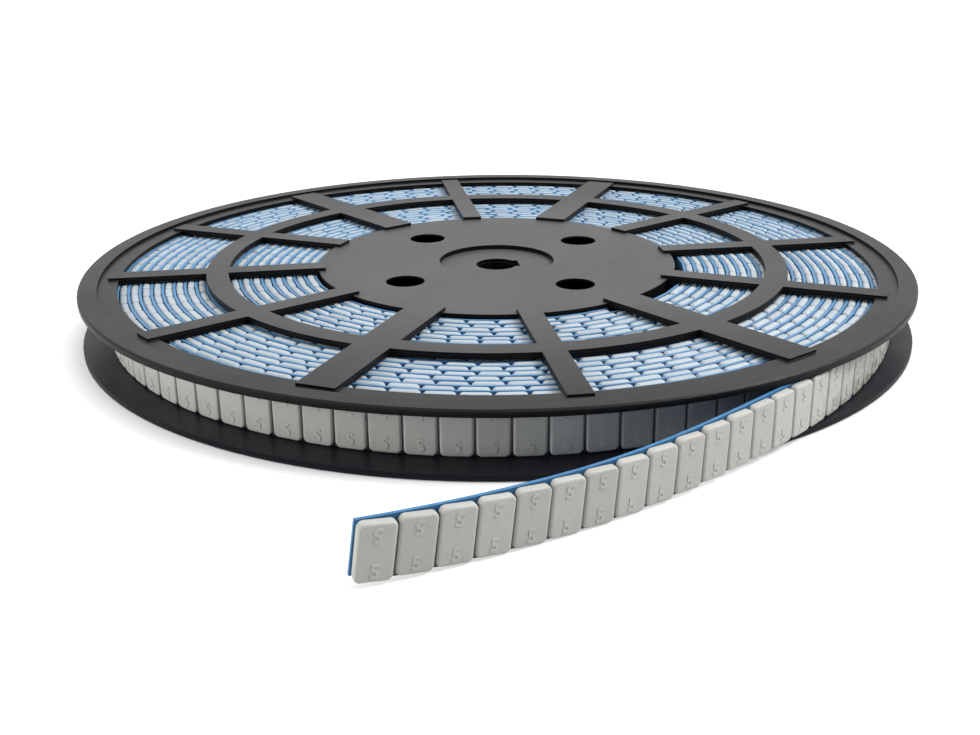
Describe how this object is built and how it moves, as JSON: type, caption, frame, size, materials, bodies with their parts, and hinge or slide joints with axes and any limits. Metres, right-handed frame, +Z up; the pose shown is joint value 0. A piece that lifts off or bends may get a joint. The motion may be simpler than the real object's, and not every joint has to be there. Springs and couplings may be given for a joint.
{
  "type": "reel of adhesive wheel balance weights",
  "caption": "Flat spoked plastic reel wound with a strip of small coated steel balance weights on blue foam tape, the strip's free end pulled off and standing in front of the reel.",
  "frame": {"origin": "on the spindle axis, half way between the two flanges", "axes": "+Z up along the spindle axis; +X towards the key notch in the spindle hole"},
  "size_m": [0.35, 0.4065, 0.0244],
  "materials": {
    "flange_plastic": "moulded black plastic with a satin face",
    "core_plastic": "moulded black plastic",
    "wound_strip": "grey coated steel weights with blue tape edges between the turns",
    "weight_coating": "light grey powder coat on steel, slightly matt",
    "tape_foam": "blue liner on thin foam tape"
  },
  "bodies": {
    "root": {"upper_flange": "flange_plastic", "lower_flange": "flange_plastic", "hub_core": "core_plastic", "wound_roll": "wound_strip", "outer_turn_weights": "weight_coating", "tail_tape": "tape_foam", "tail_weight_01": "weight_coating", "tail_weight_02": "weight_coating", "tail_weight_03": "weight_coating", "tail_weight_04": "weight_coating", "tail_weight_05": "weight_coating", "tail_weight_06": "weight_coating", "tail_weight_07": "weight_coating", "tail_weight_08": "weight_coating", "tail_weight_09": "weight_coating", "tail_weight_10": "weight_coating", "tail_weight_11": "weight_coating", "tail_weight_12": "weight_coating", "tail_weight_13": "weight_coating", "tail_weight_14": "weight_coating", "tail_weight_15": "weight_coating", "tail_weight_16": "weight_coating", "tail_weight_17": "weight_coating", "tail_weight_18": "weight_coating", "tail_weight_19": "weight_coating", "tail_weight_20": "weight_coating", "tail_weight_21": "weight_coating", "tail_weight_22": "weight_coating"}
  },
  "joints": []
}
